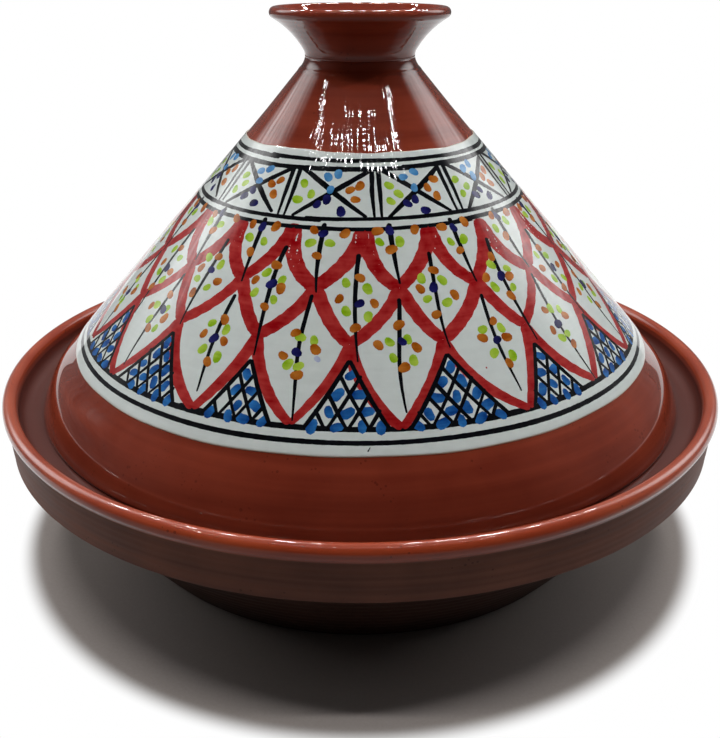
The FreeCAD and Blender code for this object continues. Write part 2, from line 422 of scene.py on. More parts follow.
# dish: foot, bowl side, collar with its round lip, moat, ledge, bowl inside and floor, as one turned profile;
# rows carry the share of each throwing ripple, so the seat of the lid stays true
def makeDish():
    d = dishShape
    rim = nodeReach("dish")[0]
    lip = np.array([rim - d["lipRadius"], d["ledgeHeight"] + d["lipRise"]])
    faceTop = -math.degrees(math.acos(1 - d["collarSetback"] / d["lipRadius"]))
    low = lip[1] - d["collarDepth"]
    lowRadius = rim - d["collarSetback"] - d["collarTaper"]
    collarTop = polar(lip, d["lipRadius"], faceTop)
    bowlTop = (lowRadius - d["collarOverhang"], low)
    foot, ring, recess = d["footRadius"], d["footRadius"] - d["footWidth"], d["footRecess"]
    inside = lip[0] - d["lipRadius"]
    moat = (inside - d["moatFillet"], d["ledgeHeight"] + d["moatFillet"])
    seat, edge, inner = d["ledgeHeight"], d["ledgeEdge"], d["ledgeInner"]
    across = np.array([inner - d["floorRadius"], seat - d["floorHeight"]])
    bowlRadius = (across ** 2).sum() / (2 * across[1])
    bowlCentre = (d["floorRadius"], d["floorHeight"] + bowlRadius)
    ledgeAngle = math.degrees(math.atan2(seat - bowlCentre[1], across[0])) - d["ledgeTrim"]
    bowlStart = polar(bowlCentre, bowlRadius, ledgeAngle)
    sideStart = np.array([foot, 0]) + d["footEdge"]
    faceStart = np.array([lowRadius, low]) + d["faceEdge"]
    # points, then shares of side ripple, face ripple, floor ripple and poured glaze (2 in the moat: pooled
    # glaze darkened further as painted shade)
    profile, (side, face, floor, poured) = joinRuns([
        (straightRun((0, recess), (ring - 3, recess), 7), 0, 0, 0, 0),
        (straightRun((ring - 3, recess), (ring, 0), 1.2), 0, 0, 0, 0),
        (straightRun((ring, 0), (foot - 1, 0), 3), 0, 0, 0, 0),
        (cornerRun((foot - 1, 0), (foot, 0), sideStart), 0, 0, 0, 0),
        (bowRun(sideStart, bowlTop, d["bowlBelly"], 0.8), 1, 0, 0, 0),
        (straightRun(bowlTop, (lowRadius - 0.8, low), 1.2), 0, 0, 0, 0),
        (cornerRun((lowRadius - 0.8, low), (lowRadius, low), faceStart), 0, 0.3, 0, 0),
        (straightRun(faceStart, collarTop, 0.75), 0, 1, 0, 0),
        (roundRun(lip, d["lipRadius"], faceTop, 180, 0.42), 0, 0.6, 0, 1),
        (straightRun((inside, lip[1]), (inside, moat[1]), 0.8), 0, 0, 0, 1.5),
        (roundRun(moat, d["moatFillet"], 0, -90, 0.6), 0, 0, 0, 2),
        (straightRun((moat[0], seat), (inner + edge, seat), 1.5), 0, 0, 0, 2),
        (cornerRun((inner + edge, seat), (inner, seat), bowlStart), 0, 0, 0, 1),
        (roundRun(bowlCentre, bowlRadius, ledgeAngle, -90, 1.6), 0, 0, 0.6, 1),
        (straightRun((d["floorRadius"], d["floorHeight"]), (0, d["floorHeight"]), 2.0), 0, 0, 1, 1),
        (np.array([[0.0, d["floorHeight"]]]), 0, 0, 0, 1),
    ])
    angle = columnAngles(d["count"])
    r, z = profile[:, :1], profile[:, 1:]
    fade = smoothBand(d["sideSpan"], z)
    amount = side * fade * d["sideRipple"] * np.sin(turn * z / d["sidePitch"] + angle)
    amount = amount + face * d["faceRipple"] * np.sin(turn * z / d["facePitch"] + angle + np.sin(2 * angle))
    amount = amount + face * d["outOfRound"] * (np.sin(2 * angle + 1.1) - 1.0) * 0.5
    spiral = np.sin(turn * np.hypot(r, z) / d["floorPitch"] + angle) * smoothStep(4, 16, r)
    amount = amount + floor * d["floorRipple"] * spiral
    load = poured[:, 0]
    piece = turnedSolid("dishBody", profile, d["count"], amount, dishClay, "dish", load)
    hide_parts("dish")


makeDish()
print("dish built")

lidShape = {
    "halfAngle": 41.9, "skirtLean": 15.0, "shoulderRadius": 44.0, "wall": 7.5, "footEdge": 1.6,
    "neckRadius": 20.5, "crown": 9.0, "count": 288, "slipHigh": 68.0, "slipLow": 179.4, "slipThickness": 0.4,
    "slipFeather": 1.0, "outOfRound": 0.22, "threeSided": 0.12, "ringDepth": 0.0012, "ringPitch": 2.4,
    "slipRipple": 0.003, "insideRipple": 0.15, "neckFillet": 3.5, "waistShare": 0.253,
    # where each kind of wobble begins and ends, as slant distances
    "slowSpan": (31, 60, 182, 195), "bareSpan": (33, 37, 65, 71), "lowSpan": (181, 184, 196, 206),
    "slipSpan": (66, 72, 176, 181), "rippleFade": (78, 104),
    "crease": 0.12, "creaseSlant": 35.4, "creaseWidth": 0.8,
}
lidFoot, lidSeat, neckHeight = nodeReach("lid_cone")
sinA = math.sin(math.radians(lidShape["halfAngle"]))
cosA = math.cos(math.radians(lidShape["halfAngle"]))
shoulder = polar((lidFoot, lidSeat), -lidShape["shoulderRadius"], lidShape["skirtLean"])
flankFoot = polar(shoulder, lidShape["shoulderRadius"], lidShape["halfAngle"])
apex = flankFoot[1] + flankFoot[0] * cosA / sinA  # where the straight flank would meet the axis
neckOut = lidShape["waistShare"] * lidShape["neckFillet"]
neckWaist = np.array([lidShape["neckRadius"] + neckOut, neckHeight])  # middle of the fillet


# how far the thrown flank departs from a true cone, in millimetres: a slow out of round, rings on the
# bare clay near the neck and low on the skirt, and weaker rings where slip fills them
def flankWobble(angle, slant):
    s = lidShape
    slow = s["outOfRound"] * np.sin(2 * angle + 0.7) + s["threeSided"] * np.sin(3 * angle + 2.1)
    slow = (slow - 0.3) * smoothBand(s["slowSpan"], slant)
    drift = 0.9 * np.sin(angle + 0.4) + 0.5 * np.sin(3 * angle + slant / 9)
    fine = np.sin(turn * slant / s["ringPitch"] + angle + drift)
    rings = fine + 0.8 * np.sin(turn * slant / 4.1 + 2 * drift) + 1.5 * np.sin(turn * slant / 9.7 + drift)
    bare = smoothBand(s["bareSpan"], slant) + 0.5 * smoothBand(s["lowSpan"], slant)
    ripple = fine * (1.2 - smoothStep(*s["rippleFade"], slant)) * smoothBand(s["slipSpan"], slant)
    crease = s["crease"] * np.exp(-((slant - s["creaseSlant"]) / s["creaseWidth"]) ** 2)
    return slow + s["ringDepth"] * rings * bare + s["slipRipple"] * ripple + crease


# points of the flank at turning angle and slant distance from the apex, lifted off the cone by lift
def flankPoint(angle, slant, lift):
    away = lift + flankWobble(angle, slant)
    r = slant * sinA + away * cosA
    z = apex - slant * cosA + away * sinA
    return np.stack([r * np.sin(angle), -r * np.cos(angle), z], axis=-1) * mm


# a place of the flank's profile
def flankAt(slant):
    return np.array([slant * sinA, apex - slant * cosA])


# lid: dome and flank inside, foot, shoulder, flank outside and neck, as one turned profile
def makeLidCone():
    s = lidShape
    innerRadius = s["shoulderRadius"] - s["wall"]
    innerFoot = math.degrees(math.asin((lidSeat - shoulder[1]) / innerRadius))
    innerEnd = polar(shoulder, innerRadius, s["halfAngle"])
    domeTop = neckHeight - s["crown"]
    domeRadius = (innerEnd[1] + innerEnd[0] * cosA / sinA - domeTop) / (1 / sinA - 1)
    dome = (0.0, domeTop - domeRadius)
    edge, neck = s["footEdge"], s["neckRadius"]
    skirt = s["skirtLean"] + math.degrees(edge / s["shoulderRadius"])
    skirtStart = polar(shoulder, s["shoulderRadius"], skirt)
    slipLow, slipHigh = flankAt(s["slipLow"] - 1.5), flankAt(s["slipHigh"] + 1.5)
    neckIn = (neckWaist[0] - 2.4, neckHeight - 0.3)
    neckSide = flankAt(neck / sinA + s["neckFillet"])
    # points, then shares of the ripple inside and of the flank's wobble
    profile, (within, outside) = joinRuns([
        (roundRun(dome, domeRadius, 90, s["halfAngle"], 2.2), 1, 0),
        (straightRun(polar(dome, domeRadius, s["halfAngle"]), innerEnd, 2.0), 1, 0),
        (roundRun(shoulder, innerRadius, s["halfAngle"], innerFoot, 1.5), 0, 0),
        (straightRun(polar(shoulder, innerRadius, innerFoot), (lidFoot - edge, lidSeat), 1.3), 0, 0),
        (cornerRun((lidFoot - edge, lidSeat), (lidFoot, lidSeat), skirtStart, 5), 0, 0),
        (roundRun(shoulder, s["shoulderRadius"], skirt, s["halfAngle"], 0.75), 0, 1),
        (straightRun(flankFoot, slipLow, 0.75), 0, 1),
        (straightRun(slipLow, slipHigh, 3.0), 0, 1),
        (straightRun(slipHigh, neckSide, 0.42), 0, 1),
        (cornerRun(neckSide, (neckSide + np.array([neck, neckHeight])) / 2, neckWaist, 6), 0, 0),
        (straightRun(neckWaist, neckIn, 0.8), 0, 0),
        (straightRun(neckIn, (0, neckIn[1]), 6), 0, 0),
        (np.array([[0.0, neckIn[1]]]), 0, 0),
    ])
    angle = columnAngles(s["count"])
    r, z = profile[:, :1], profile[:, 1:]
    amount = outside * flankWobble(angle, (apex - z) / cosA)
    amount = amount + within * s["insideRipple"] * np.sin(turn * z / 5.5 + angle) * smoothStep(3, 12, r)
    piece = turnedSolid("lidCone", profile, s["count"], amount, glazedClay, "lid")
    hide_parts("lid_cone")


makeLidCone()
print("lid built")

knobShape = {"bead": 2.1, "flareAngle": 60.0, "cupDepth": 12.7, "count": 192, "ripple": 0.012, "pitch": 2.9}


# knob: a waist that flares to a round bead, and a shallow cup in its top
def makeKnob():
    k = knobShape
    radius, base, top = nodeReach("lid_knob")
    bead = np.array([radius - k["bead"], top - k["bead"]])
    start = np.array([lidShape["neckRadius"], base])
    flareEnd = polar(bead, k["bead"], -k["flareAngle"])
    chord = flareEnd - start
    bow = math.radians(k["flareAngle"]) - math.atan2(chord[0], chord[1])
    sagitta = np.hypot(*chord) / 2 * math.tan(bow / 2)
    rise = bead[1] - (top - k["cupDepth"])
    cupRadius = (bead[0] ** 2 + rise ** 2 - k["bead"] ** 2) / (2 * (rise + k["bead"]))
    cup = (0.0, top - k["cupDepth"] + cupRadius)
    cupAngle = math.degrees(math.atan2(bead[1] - cup[1], bead[0]))
    flare = bowRun(start, flareEnd, -sagitta, 0.5)[6:]
    rootIn = (start[0] - 0.8, base - 0.6)
    # points, then the share of the ripple
    profile, (share,) = joinRuns([
        (straightRun((0, rootIn[1]), rootIn, 5), 0),
        (straightRun(rootIn, neckWaist, 0.5), 0),
        (cornerRun(neckWaist, (start + flare[0]) / 2, flare[0], 6), 0),
        (flare, 1),
        (roundRun(bead, k["bead"], -k["flareAngle"], cupAngle + 180, 0.32), 0.4),
        (roundRun(cup, cupRadius, cupAngle, -90, 0.9), 1),
        (np.array([[0.0, top - k["cupDepth"]]]), 0),
    ])
    angle = columnAngles(k["count"])
    path = runLength(profile)[:, None]
    fade = smoothStep(base, base + 2, profile[:, 1:]) * smoothStep(2, 8, profile[:, :1])
    amount = share * fade * k["ripple"] * (np.sin(turn * path / k["pitch"] + angle) - 0.5)
    piece = turnedSolid("lidKnob", profile, k["count"], amount, glazedClay, "lid")
    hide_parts("lid_knob")


makeKnob()
print("knob built")

slipLook = {
    "white": colour(213, 220, 217), "shade": colour(201, 208, 205), "edge": colour(226, 196, 160),
    "rings": 0.04, "peel": 0.04, "depth": 0.09, "load": 0.5, "streak": 1.0,
}


# brush film placed in a material: its colour
def placeFilm(tree, place, thin, thick, load, streak):
    given = {"Vector": place, "Thin": thin, "Thick": thick, "Load": load, "Streak": streak}
    return placeGroup(tree, brushFilm, given)["Color"]


# white slip under clear glaze: faint shade where the brush left less, a warm tint where it thins at its edges
def makeSlipWhite():
    look = slipLook
    material, tree, shader, place = startMaterial("slipWhite")
    film = placeFilm(tree, place, look["shade"], look["white"], look["load"], look["streak"])
    setGlaze(tree, shader, place, look, mixNode(tree, loadNode(tree, "load"), film, look["edge"]))
    return material


slipShape = {
    "brim": np.array([0.0, 0.12, 0.35, 0.65, 1.0]), "rise": np.array([-0.05, 0.45, 0.8, 0.95, 1.0]),
    "step": 0.9, "underStep": 6.0, "sink": -0.3, "tint": 0.22, "edgeZone": 8.0,
    "sway": ((0.35, 3, 0.5), (0.25, 7, 2.0), (0.12, 19, 0.0)),
}


# coat of slip: its outer face, feathered at both edges, and its inner face in the clay, as a closed ring;
# the edges wander up and down the flank by a sum of waves, each with its height, count and phase
def makeSlip():
    s, shape = lidShape, slipShape
    high, low, thick, feather = s["slipHigh"], s["slipLow"], s["slipThickness"], s["slipFeather"]
    brim, rise, zone = feather * shape["brim"], thick * shape["rise"], shape["edgeZone"]
    face = np.arange(low - feather - shape["step"], high + feather + 0.4, -shape["step"])
    under = np.arange(high + 1.0, low - 0.5, shape["underStep"])
    slant = np.concatenate([low - brim, face, (high + brim)[::-1], under])[:, None]
    sunk = np.full(len(under), shape["sink"])
    lift = np.concatenate([rise, np.full(len(face), thick), rise[::-1], sunk])[:, None]
    thin = np.exp(-np.minimum(low - slant, slant - high) / shape["tint"]) * (lift > shape["sink"] / 2)
    angle = columnAngles(s["count"])
    sway = sum(much * np.sin(waves * angle + phase) for much, waves, phase in shape["sway"])
    nearHigh, nearLow = [np.clip(1 + over / zone, 0, 1) for over in (high - slant, slant - low)]
    placed = slant + sway * (nearHigh - 0.8 * nearLow)
    points = flankPoint(angle + 0 * slant, placed, lift + 0 * angle).reshape(-1, 3)
    faces = gridFaces(len(slant), s["count"], closedRows=True).tolist()
    load = (thin + 0 * angle).ravel()
    piece = makePiece("whiteSlip", points, faces, makeSlipWhite(), "lid", load)
    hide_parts("white_slip_band")


makeSlip()
print("slip built")

paintLook = {"rings": 0.04, "peel": 0.04, "depth": 0.09}
# of each paint: its colours where the brush left little and much, and how streaky it is
paintTones = {
    "red": ((194, 68, 63), (142, 5, 14), 0.9), "black": ((25, 29, 36), (7, 9, 13), 0.8),
    "navy": ((36, 36, 108), (12, 11, 58), 0.8), "blue": ((48, 120, 188), (8, 56, 126), 1.1),
    "sky": ((104, 164, 210), (42, 108, 166), 1.1), "green": ((184, 209, 80), (129, 171, 18), 1.1),
    "brown": ((196, 122, 46), (146, 70, 6), 1.1), "smudge": ((196, 202, 214), (140, 152, 196), 0.8),
}


# name of a paint's material and of its piece
def paintTitle(paint):
    return "paint" + paint.capitalize()


# glossy underglaze paint: its film, mixed by the load on the mesh
def makePaint(paint, thin, thick, streak):
    material, tree, shader, place = startMaterial(paintTitle(paint))
    film = placeFilm(tree, place, colour(*thin), colour(*thick), loadNode(tree, "load"), streak)
    setGlaze(tree, shader, place, paintLook, film)
    return material


paints = {paint: makePaint(paint, *tone) for paint, tone in paintTones.items()}
print("paints built")

strokeParts = {key: [] for key in paints}  # painted parts of one colour, joined into one piece at the end

strokeShape = {
    "across": np.array([-1.0, -0.86, 0.0, 0.86, 1.0, 0.55, -0.55]),
    "height": np.array([-0.08, 0.85, 1.0, 0.85, -0.08, -0.8, -0.8]),
    "ends": np.array([0.03, 0.12, 0.30, 0.60]), "capLimit": 0.3, "step": 1.6,
    "rough": 0.035, "longWave": 5.3, "shortWave": 2.1, "shortShare": 0.7,
    "sink": 0.06, "tipSink": 0.02, "endFade": 4.5, "edgeThin": 0.18,
}


# one brush stroke on the slip. Its path (turning angle in degrees, slant in mm) is laid out flat, as a cone
# unrolls, and a film with a crowned section is carried along it; the ends are round, and close in a point
def brushStroke(paint, path, widths, crown, load=0.6, endLoad=0.0):
    shape = strokeShape
    path, widths = np.array(path, float), np.array(widths, float)
    middle = path[:, 0].mean()
    theta = np.radians(path[:, 0] - middle) * sinA
    flat = np.stack([path[:, 1] * np.sin(theta), path[:, 1] * np.cos(theta)], axis=1)
    along = runLength(flat)
    length = along[-1]
    width = np.interp(along, np.linspace(0, length, len(widths)), widths)
    first, last = [min(width[k] / 2, length * shape["capLimit"]) for k in (0, -1)]
    body = np.linspace(first, length - last, max(3, int(length / shape["step"])))
    at = np.concatenate([first * shape["ends"], body, length - last * shape["ends"][::-1]])
    centre = np.stack([np.interp(at, along, flat[:, k]) for k in (0, 1)], axis=1)
    startCap, endCap = np.clip(1 - at / first, 0, 1), np.clip(1 - (length - at) / last, 0, 1)
    cap = np.sqrt((1 - startCap ** 2) * (1 - endCap ** 2))
    half = np.interp(at, along, width) / 2 * cap
    tangent = np.gradient(centre, at, axis=0)
    tangent /= np.hypot(tangent[:, 0], tangent[:, 1])[:, None]
    side = np.stack([tangent[:, 1], -tangent[:, 0]], axis=1)
    phase = rng.uniform(0, turn, 4)
    long, short = phase[:2, None], phase[2:, None]  # one wave of each kind along either edge
    waves = np.sin(at * turn / shape["longWave"] + long)
    waves = waves + shape["shortShare"] * np.sin(at * turn / shape["shortWave"] + short)
    uneven = np.where(shape["across"] < 0, *(1 + shape["rough"] * waves[:, :, None]))
    reach = uneven * shape["across"] * half[:, None]
    grid = centre[:, None, :] + side[:, None, :] * reach[:, :, None]
    crowned = shape["height"] * crown * np.sqrt(cap)[:, None]
    lift = np.where(shape["height"] > 0, crowned, shape["height"] * shape["sink"])
    planeX, planeY = np.vstack([flat[[0, -1]], grid.reshape(-1, 2)]).T
    lift = np.concatenate([[-shape["tipSink"]] * 2, lift.ravel()]) + lidShape["slipThickness"]
    angle = math.radians(middle) + np.arctan2(planeX, planeY) / sinA
    points = flankPoint(angle, np.hypot(planeX, planeY), lift)
    near = np.exp(-at / shape["endFade"]) + np.exp(-(length - at) / shape["endFade"])
    filled = load + endLoad * near[:, None] - shape["edgeThin"] * np.abs(shape["across"])[None, :] ** 3
    filled = np.concatenate([[load, load], filled.ravel()])
    strokeParts[paint].append((points, *closedFaces(len(at), len(shape["across"]), True), filled))


dotShape = {
    "segments": 12, "rings": np.array([0.6, 0.9, 1.0]), "height": np.array([0.97, 0.7, -2.5]),
    "bottom": -0.25, "sizePlay": (0.88, 1.12), "threeSided": 0.05, "load": 0.6, "leanLoad": 0.55,
    "loadPlay": 0.12,
}


# dabs of paint on the slip: low domes with an uneven round outline, all of one colour at once.
# Rows of centres are turning angle in degrees and slant in mm; size is their width in mm
def paintDots(paint, centres, size, height, base=0.0, stretch=0.16):
    shape = dotShape
    centres = np.array(centres, float)
    count, segments = len(centres), shape["segments"]
    psi = np.arange(segments) * turn / segments
    phase = rng.uniform(0, turn, (count, 3))[:, :, None]
    own = size * rng.uniform(*shape["sizePlay"], count)[:, None] / 2
    threeSided = shape["threeSided"] * np.cos(3 * psi - phase[:, 1])
    outline = own * (1 + stretch * np.cos(2 * psi - phase[:, 0]) + threeSided)
    reach = outline[:, None, :] * shape["rings"][None, :, None]
    ends = np.zeros((count, 2))
    dx, dy = [np.hstack([ends, (reach * part).reshape(count, -1)]) for part in (np.cos(psi), np.sin(psi))]
    rise = np.concatenate([[1.0, shape["bottom"]], np.repeat(shape["height"], segments)]) * height + base
    angle = np.radians(centres[:, :1]) + dx / (centres[:, 1:] * sinA)
    points = flankPoint(angle, centres[:, 1:] - dy, rise[None, :] + lidShape["slipThickness"] + 0 * dx)
    quads, fans = closedFaces(len(shape["rings"]), segments, True)
    start = np.arange(count)[:, None, None] * (2 + len(shape["rings"]) * segments)
    lean = (dx * np.cos(phase[:, 2]) + dy * np.sin(phase[:, 2])) / size
    load = shape["load"] + shape["leanLoad"] * lean
    load = load + rng.uniform(-shape["loadPlay"], shape["loadPlay"], (count, 1))
    faces = [(part[None] + start).reshape(-1, part.shape[1]) for part in (quads, fans)]
    strokeParts[paint].append((points.reshape(-1, 3), *faces, load.ravel()))


# slant distance of a level on the flank
def slantAt(z):
    return (apex - np.asarray(z, float)) / cosA


# cubic curve from a to b; f and g are its two handles as shares of the way across and down
def curvedPath(a, b, f, g, count=24):
    a, b = np.array(a, float), np.array(b, float)
    t = np.linspace(0, 1, count)[:, None]
    p, q = a + (b - a) * np.array(f), a + (b - a) * np.array(g)
    return a * (1 - t) ** 3 + p * 3 * t * (1 - t) ** 2 + q * 3 * t ** 2 * (1 - t) + b * t ** 3


ringLines = {
    "slant": (71.8, 74.9, 95.1, 98.3, 170.3, 174.6), "width": (1.8, 2.1, 1.65, 1.7, 2.05, 1.8),
    "seam": (140, 200, 165, 215, 150, -25), "half": 183, "points": 420, "wander": 0.16, "spiral": 0.25,
    "widthPlay": 0.07, "crown": 0.012, "load": 0.85,
}


# black lines round the lid, each one turn of the brush whose ends overlap a little
def paintRings():
    lines = ringLines
    for slant, width, seam in zip(lines["slant"], lines["width"], lines["seam"]):
        angle = np.radians(np.linspace(seam - lines["half"], seam + lines["half"], lines["points"]))
        phase = rng.uniform(0, turn, 3)
        wander = np.sin(angle * 2 + phase[0]) + 0.6 * np.sin(angle * 5 + phase[1])
        wander = wander + 0.35 * np.sin(angle * 13 + phase[2])
        spiral = lines["spiral"] * np.sin((angle - math.radians(seam)) / 2)
        path = np.stack([np.degrees(angle), slant + lines["wander"] * wander + spiral], axis=1)
        widths = width * (1 + lines["widthPlay"] * np.sin(angle * 7 + phase[0]))
        brushStroke("black", path, widths, lines["crown"], lines["load"])


lattice = {
    "cells": 18, "peakSlant": 98.0, "row1": 120.6, "row2": 140.8, "tip": 169.6,
    "peaks": (-20.3, 1.4, 21.1), "firsts": (-30.6, -10.7, 9.5), "seconds": (-21.6, -2.1, 17.2),
    "tips": (-30.0, -11.7, 6.9), "repeats": 6, "anglePlay": 0.5, "peakPlay": 0.5, "rowPlay": 0.6,
    "tipPlay": 0.7, "widthPlay": 0.05, "crown": 0.008, "crownStep": 0.002, "endLoad": 0.3,
}


# turning angles of one row of the lattice: three measured places, repeated every 60 degrees with play
def rowAngles(row):
    measured, repeats = np.array(lattice[row]), lattice["repeats"]
    angle = np.concatenate([measured + 360 // repeats * k for k in range(repeats)])
    play = rng.normal(0, lattice["anglePlay"], len(angle))
    play[:len(measured)] = 0
    return angle + play


latticeRows = ("peaks", "firsts", "seconds", "tips")
peakAngles, firstAngles, secondAngles, tipAngles = [rowAngles(row) for row in latticeRows]


# red lattice: from each peak two arms go down to the first row, from there to the second row, and to the tips
def paintLattice():
    cells = lattice["cells"]
    row1 = lattice["row1"] + rng.normal(0, lattice["rowPlay"], cells + 1)
    row2 = lattice["row2"] + rng.normal(0, lattice["rowPlay"], cells)
    tip = lattice["tip"] + rng.normal(0, lattice["tipPlay"], cells + 1)
    row1[-1], tip[-1] = row1[0], tip[0]
    firsts, tips = np.append(firstAngles, firstAngles[0] + 360), np.append(tipAngles, tipAngles[0] + 360)
    for k in range(cells):
        peak = (peakAngles[k], lattice["peakSlant"] + rng.normal(0, lattice["peakPlay"]))
        left, right = (firsts[k], row1[k]), (firsts[k + 1], row1[k + 1])
        second = (secondAngles[k], row2[k])
        tipLeft, tipRight = (tips[k], tip[k]), (tips[k + 1], tip[k + 1])
        # from, to, handles, widths, load
        arms = [
            (peak, left, (0.08, 0.36), (0.57, 0.74), (6.4, 5.7, 5.2, 4.8), 0.68),
            (peak, right, (0.03, 0.40), (0.38, 0.83), (6.6, 5.9, 5.4, 5.0), 0.72),
            (left, second, (0.28, 0.36), (0.57, 0.75), (5.2, 5.2, 5.0, 4.6), 0.62),
            (right, second, (0.20, 0.36), (0.60, 0.75), (5.0, 4.6, 4.5, 4.4), 0.62),
            (second, tipLeft, (0.20, 0.34), (0.60, 0.69), (4.6, 4.4, 4.0, 3.0), 0.62),
            (second, tipRight, (0.12, 0.35), (0.50, 0.73), (4.6, 4.5, 4.1, 3.0), 0.64),
        ]
        for number, (*bend, widths, load) in enumerate(arms):
            widths = np.array(widths) * rng.normal(1, lattice["widthPlay"])
            crown = lattice["crown"] + lattice["crownStep"] * number
            brushStroke("red", curvedPath(*bend), widths, crown, load, lattice["endLoad"])


# cells: the bend of the stem, then the dots of each colour, as turning angle from the cell's middle and level
leafUpper = [
    {"stem": ((0.4, 138.8), (-0.9, 127.5), (-0.4, 114.3), (-0.1, 108.0)),
     "brown": ((-1.1, 133.0), (1.8, 126.8), (-5.6, 128.2), (-0.9, 121.3)), "navy": ((-0.85, 127.7),),
     "green": ((-3.1, 130.6), (1.6, 129.0), (-4.6, 124.7), (0.8, 123.5))},
    {"stem": ((0.4, 137.5), (-0.4, 126.9), (-0.3, 117.5), (0.3, 108.3)),
     "brown": ((0.7, 130.8), (-4.1, 125.0), (4.0, 123.8), (-0.3, 117.3)), "navy": ((0.6, 123.8),),
     "green": ((-2.7, 129.4), (2.5, 127.8), (-2.4, 121.7), (2.5, 120.3))},
    {"stem": ((0.7, 137.2), (-0.1, 126.9), (-0.5, 118.5), (-0.1, 110.6)),
     "brown": ((0.7, 131.9), (-3.8, 127.1), (4.4, 124.5), (-1.3, 119.8)), "navy": ((-0.4, 127.2),),
     "green": ((-3.0, 129.9), (2.3, 128.9), (-2.6, 124.2), (2.0, 122.7))},
]
leafLower = [
    {"stem": ((0.2, 123.3), (-0.5, 111.2), (0.0, 102.0), (0.5, 95.9)),
     "brown": ((0.1, 116.0), (2.0, 110.3), (-3.6, 111.0), (0.1, 104.1)), "navy": ((-0.6, 110.5),),
     "green": ((1.5, 113.4), (-2.7, 114.3), (1.9, 105.9), (-2.2, 107.0))},
    {"stem": ((0.1, 125.9), (-0.9, 114.3), (-0.7, 105.9), (0.1, 92.6)),
     "brown": ((-2.1, 115.3), (2.5, 111.3), (-3.8, 109.0), (-0.4, 104.3)), "navy": ((-1.2, 110.2),),
     "green": ((-1.0, 114.3), (2.0, 113.6), (-2.5, 106.9), (-0.4, 106.6))},
    {"stem": ((1.1, 125.0), (0.1, 114.3), (-0.5, 105.9), (-0.1, 95.0)),
     "brown": ((0.3, 117.8), (-4.3, 112.7), (3.4, 111.6), (0.4, 106.6)), "navy": ((0.6, 113.4),),
     "green": ((-2.0, 113.4), (1.8, 113.9), (-1.5, 109.2), (2.4, 108.3))},
]
topCell = [
    {"stem": ((-0.6, 146.0), (-0.4, 135.0), (0.1, 127.0)), "navy": ((-0.5, 143.2),),
     "brown": ((4.2, 143.8), (-4.4, 143.5), (-1.0, 135.6)), "green": ((2.0, 139.1), (-3.4, 139.6))},
    {"stem": ((-0.2, 146.0), (-0.5, 134.8), (0.3, 126.4)), "navy": ((-0.2, 142.9),),
     "brown": ((-3.1, 143.8), (6.3, 143.1), (-1.0, 136.6)), "green": ((-3.5, 140.1), (2.1, 140.3))},
    {"stem": ((-0.6, 146.0), (-0.2, 136.0), (0.3, 128.8)), "navy": ((-0.7, 143.9),),
     "brown": ((-4.3, 143.8), (7.1, 143.8), (-0.8, 138.5)), "green": ((-3.9, 140.7), (1.9, 140.6))},
]
cellMarks = {
    "upperShift": (0.9, 2.1, 2.7), "lowerShift": (0.3, 0.7, 1.5), "drop": 0.5, "dotPlay": 0.35,
    "widthPlay": 0.05, "crown": 0.022, "load": 0.9,
    # width, height and base of the dots
    "dots": {"green": (3.7, 0.012, 0.012), "brown": (3.8, 0.012, 0.018), "navy": (3.7, 0.014, 0.020)},
}


# smooth path through a few places (turning angle, level), each weighed by its Lagrange polynomial
def throughPoints(places, middle, count=22):
    places = np.array(places, float)
    t, knots = np.linspace(0, 1, count), np.linspace(0, 1, len(places))
    same = np.eye(len(knots), dtype=bool)
    spread = knots[:, None] - knots[None, :] + same
    factor = np.where(same[None], 1, (t[:, None, None] - knots[None, None, :]) / spread[None])
    path = factor.prod(axis=2) @ places
    return np.stack([middle + path[:, 0], slantAt(path[:, 1])], axis=1)


# black stems and coloured dots of every cell; cells past the measured ones repeat them with a little play
def paintCells():
    marks = cellMarks
    upperAngles = peakAngles - np.array(marks["upperShift"] * lattice["repeats"])
    lowerAngles = firstAngles - np.array(marks["lowerShift"] * lattice["repeats"])
    rows = [
        (leafUpper, upperAngles, (1.75, 1.65, 1.4, 0.65)),
        (leafLower, lowerAngles, (1.55, 1.5, 1.3, 0.65)),
        (topCell, firstAngles, (2.0, 1.8, 0.8)),
    ]
    dots = {"brown": [], "navy": [], "green": []}
    for templates, middles, widths in rows:
        for k, middle in enumerate(middles):
            cell = templates[k % len(templates)]
            play = float(k >= len(templates))
            drop = rng.normal(0, marks["drop"]) * play
            path = throughPoints(cell["stem"], middle) + np.array([0.0, drop])
            own = np.array(widths) * rng.normal(1, marks["widthPlay"])
            brushStroke("black", path, own, marks["crown"], marks["load"])
            for key, found in dots.items():
                places = np.array(cell[key]) + rng.normal(0, marks["dotPlay"], (len(cell[key]), 2)) * play
                found.append(np.stack([middle + places[:, 0], slantAt(places[:, 1]) + drop], axis=1))
    for key, sizes in marks["dots"].items():
        paintDots(key, np.vstack(dots[key]), *sizes)


hatching = {
    "apexes": (107.0, 108.8, 109.2), "left": (-6.2, -7.2, -8.8), "right": (6.6, 7.0, 8.9), "lines": (4, 4, 5),
    "baseLift": 0.2, "topShift": 0.1, "topPlay": 0.8, "sidePlay": 0.5, "startPlay": 0.15, "overrun": 0.03,
    "line": 1.4, "lineTaper": np.array([1.0, 1.0, 0.8]), "linePlay": 0.08, "lineCrown": 0.026,
    "outline": 1.7, "outlineTaper": np.array([0.9, 1.05, 0.9]), "outlineCrown": 0.03, "load": 0.9,
    # width, height, base and stretch of the dabs, their play, their distance from the line, and how many stay
    "dab": (4.3, 0.010, 0.008, 0.24), "dabPlay": np.array([0.28, 0.45]), "dabRoom": 0.7, "dabShare": 0.96,
}


